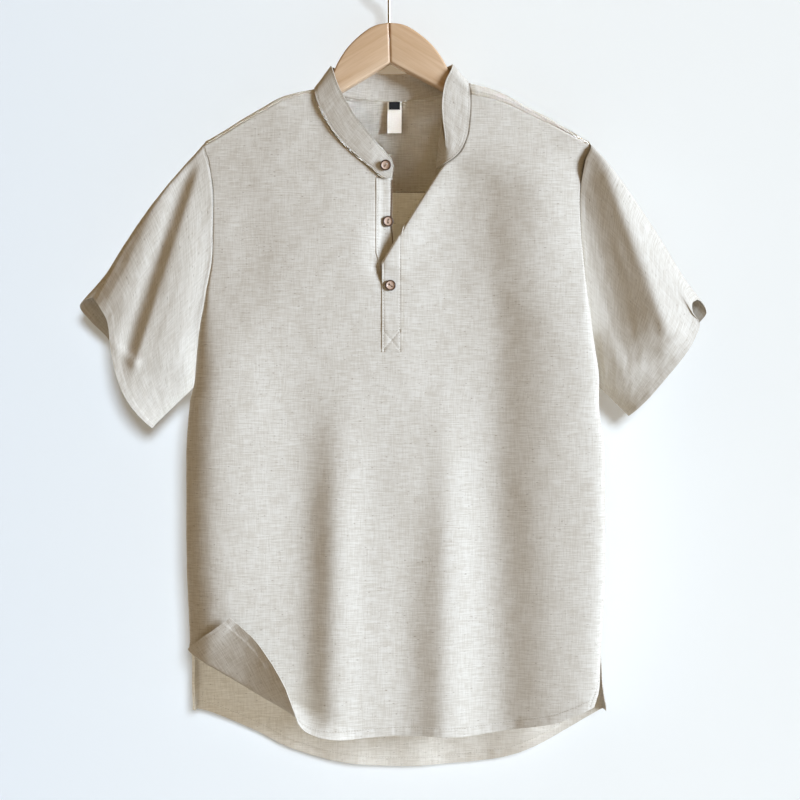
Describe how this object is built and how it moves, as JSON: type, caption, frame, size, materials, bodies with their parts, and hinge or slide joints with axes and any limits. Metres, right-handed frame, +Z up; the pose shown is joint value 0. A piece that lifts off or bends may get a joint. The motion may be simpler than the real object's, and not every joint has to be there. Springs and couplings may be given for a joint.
{
  "type": "mandarin collar shirt on a wooden hanger",
  "caption": "Short-sleeved linen-blend popover shirt with a band collar, buttoned half placket and curved shirt-tail hem, hanging open at the neck on a flat wooden hanger with a wire hook.",
  "frame": {"origin": "the inside of the top of the hook's loop, where a rail carries the hanger", "axes": "+Z up, the shirt's front faces -Y, and +X is on the right of someone who looks at its front"},
  "size_m": [0.6918, 0.1019, 0.9088],
  "materials": {
    "linen": "oatmeal linen blend with fine slubs",
    "button": "polished coconut shell",
    "black_tape": "black woven tape",
    "cream_tape": "cream satin tape",
    "wood": "pale wood, satin lacquer",
    "steel": "bright wire"
  },
  "bodies": {
    "root": {"front": "linen", "back": "linen", "yoke": "linen", "sleeve_left": "linen", "sleeve_right": "linen", "collar_band": "linen", "placket_overlap": "linen", "placket_underlap": "linen", "button_collar": "button", "button_upper": "button", "button_lower": "button", "size_tab": "black_tape", "care_label": "cream_tape", "hanger_arm_left": "wood", "hanger_arm_right": "wood", "hanger_hook": "steel"}
  },
  "joints": []
}
